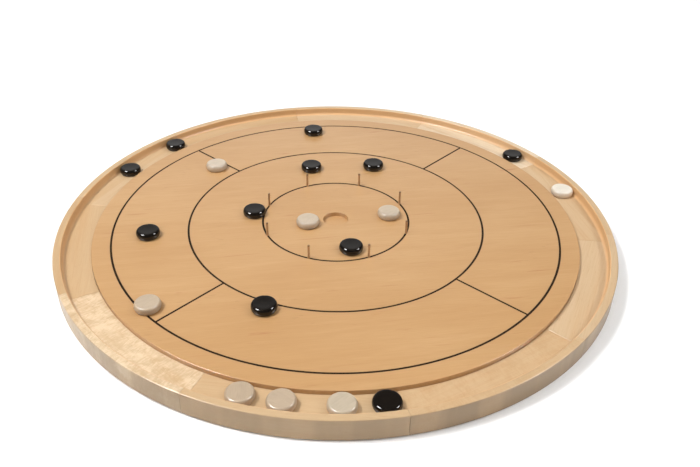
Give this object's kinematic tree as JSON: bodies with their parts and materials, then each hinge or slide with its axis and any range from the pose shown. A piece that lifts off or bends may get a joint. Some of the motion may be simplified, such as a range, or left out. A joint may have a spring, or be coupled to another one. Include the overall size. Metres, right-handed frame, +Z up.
{
  "type": "crokinole board",
  "caption": "Round wooden flicking-game board: raised deck with line circles, ring of pegs and a centre hole, a ditch and rim round it, and loose dark and light discs.",
  "frame": {"origin": "centre of the board on the surface that its foot pads stand on", "axes": "+Z up through the centre hole; the four quadrant lines run at 45 degrees to +X and +Y"},
  "size_m": [0.753, 0.753, 0.0425],
  "materials": {
    "deck_veneer": "satin clear lacquer over pale veneer",
    "line_inlay": "dark brown, flush with the deck, satin",
    "ring_maple": "satin clear lacquer over solid maple",
    "dowel_wood": "plain beech, unfinished",
    "screw_steel": "zinc plated",
    "foot_rubber": "matt black rubber",
    "peg_bronze": "antique bronze plating, satin",
    "dark_disc": "black stained hardwood, gloss lacquer",
    "light_disc": "natural pale maple, satin lacquer"
  },
  "bodies": {
    "board": {"deck": "deck_veneer", "inner_line": "line_inlay", "middle_line": "line_inlay", "outer_line": "line_inlay", "quadrant_lines": "line_inlay", "ring_segment_01": "ring_maple", "ring_segment_02": "ring_maple", "ring_segment_03": "ring_maple", "ring_segment_04": "ring_maple", "ring_segment_05": "ring_maple", "ring_segment_06": "ring_maple", "ring_segment_07": "ring_maple", "ring_segment_08": "ring_maple", "ring_segment_09": "ring_maple", "ring_segment_10": "ring_maple", "joint_dowels": "dowel_wood", "deck_screws": "screw_steel", "foot_pads": "foot_rubber", "peg_1": "peg_bronze", "peg_2": "peg_bronze", "peg_3": "peg_bronze", "peg_4": "peg_bronze", "peg_5": "peg_bronze", "peg_6": "peg_bronze", "peg_7": "peg_bronze", "peg_8": "peg_bronze"},
    "dark_disc_01": {"dark_disc_01": "dark_disc"},
    "dark_disc_02": {"dark_disc_02": "dark_disc"},
    "dark_disc_03": {"dark_disc_03": "dark_disc"},
    "dark_disc_04": {"dark_disc_04": "dark_disc"},
    "dark_disc_05": {"dark_disc_05": "dark_disc"},
    "dark_disc_06": {"dark_disc_06": "dark_disc"},
    "dark_disc_07": {"dark_disc_07": "dark_disc"},
    "dark_disc_08": {"dark_disc_08": "dark_disc"},
    "dark_disc_09": {"dark_disc_09": "dark_disc"},
    "dark_disc_10": {"dark_disc_10": "dark_disc"},
    "dark_disc_11": {"dark_disc_11": "dark_disc"},
    "light_disc_01": {"light_disc_01": "light_disc"},
    "light_disc_02": {"light_disc_02": "light_disc"},
    "light_disc_03": {"light_disc_03": "light_disc"},
    "light_disc_04": {"light_disc_04": "light_disc"},
    "light_disc_05": {"light_disc_05": "light_disc"},
    "light_disc_06": {"light_disc_06": "light_disc"},
    "light_disc_07": {"light_disc_07": "light_disc"},
    "light_disc_08": {"light_disc_08": "light_disc"}
  },
  "joints": [
    {"name": "dark_disc_01_slide", "type": "slide", "parent": "board", "child": "dark_disc_01", "axis": [1, 0, 0], "range_m": [-0.11, 0.15]},
    {"name": "dark_disc_02_slide", "type": "slide", "parent": "board", "child": "dark_disc_02", "axis": [-0.2588, 0.9659, 0], "range_m": [-0.03, 0.11]},
    {"name": "dark_disc_03_slide", "type": "slide", "parent": "board", "child": "dark_disc_03", "axis": [-0.866, 0.5, 0], "range_m": [-0.15, 0.04]},
    {"name": "dark_disc_04_slide", "type": "slide", "parent": "board", "child": "dark_disc_04", "axis": [0.7071, 0.7071, 0], "range_m": [-0.06, 0.11]},
    {"name": "dark_disc_05_slide", "type": "slide", "parent": "board", "child": "dark_disc_05", "axis": [0, 1, 0], "range_m": [-0.15, 0.15]},
    {"name": "dark_disc_06_slide", "type": "slide", "parent": "board", "child": "dark_disc_06", "axis": [0, 1, 0], "range_m": [-0.2, 0.04]},
    {"name": "dark_disc_07_slide", "type": "slide", "parent": "board", "child": "dark_disc_07", "axis": [0.9659, 0.2588, 0], "range_m": [-0.02, 0.2]},
    {"name": "dark_disc_08_round_ditch", "type": "hinge", "parent": "board", "child": "dark_disc_08", "pos_m": [0, 0, 0.017], "axis": [0, 0, 1], "range_deg": [-15, 60]},
    {"name": "dark_disc_09_round_ditch", "type": "hinge", "parent": "board", "child": "dark_disc_09", "pos_m": [0, 0, 0.017], "axis": [0, 0, 1], "range_deg": [-60, 11]},
    {"name": "dark_disc_10_round_ditch", "type": "hinge", "parent": "board", "child": "dark_disc_10", "pos_m": [0, 0, 0.017], "axis": [0, 0, 1], "range_deg": [-11, 60]},
    {"name": "dark_disc_11_round_ditch", "type": "hinge", "parent": "board", "child": "dark_disc_11", "pos_m": [0, 0, 0.017], "axis": [0, 0, 1], "range_deg": [-1.5, 60]},
    {"name": "light_disc_01_slide", "type": "slide", "parent": "board", "child": "light_disc_01", "axis": [0, 1, 0], "range_m": [-0.09, 0.09]},
    {"name": "light_disc_02_slide", "type": "slide", "parent": "board", "child": "light_disc_02", "axis": [-0.2588, 0.9659, 0], "range_m": [-0.12, 0.12]},
    {"name": "light_disc_03_slide", "type": "slide", "parent": "board", "child": "light_disc_03", "axis": [0.866, 0.5, 0], "range_m": [-0.02, 0.18]},
    {"name": "light_disc_04_slide", "type": "slide", "parent": "board", "child": "light_disc_04", "axis": [-0.866, 0.5, 0], "range_m": [-0.1, 0.035]},
    {"name": "light_disc_05_round_ditch", "type": "hinge", "parent": "board", "child": "light_disc_05", "pos_m": [0, 0, 0.017], "axis": [0, 0, 1], "range_deg": [-40, 15]},
    {"name": "light_disc_06_round_ditch", "type": "hinge", "parent": "board", "child": "light_disc_06", "pos_m": [0, 0, 0.017], "axis": [0, 0, 1], "range_deg": [-60, 1.5]},
    {"name": "light_disc_07_round_ditch", "type": "hinge", "parent": "board", "child": "light_disc_07", "pos_m": [0, 0, 0.017], "axis": [0, 0, 1], "range_deg": [-1.5, 4]},
    {"name": "light_disc_08_round_ditch", "type": "hinge", "parent": "board", "child": "light_disc_08", "pos_m": [0, 0, 0.017], "axis": [0, 0, 1], "range_deg": [-4, 1.5]}
  ]
}
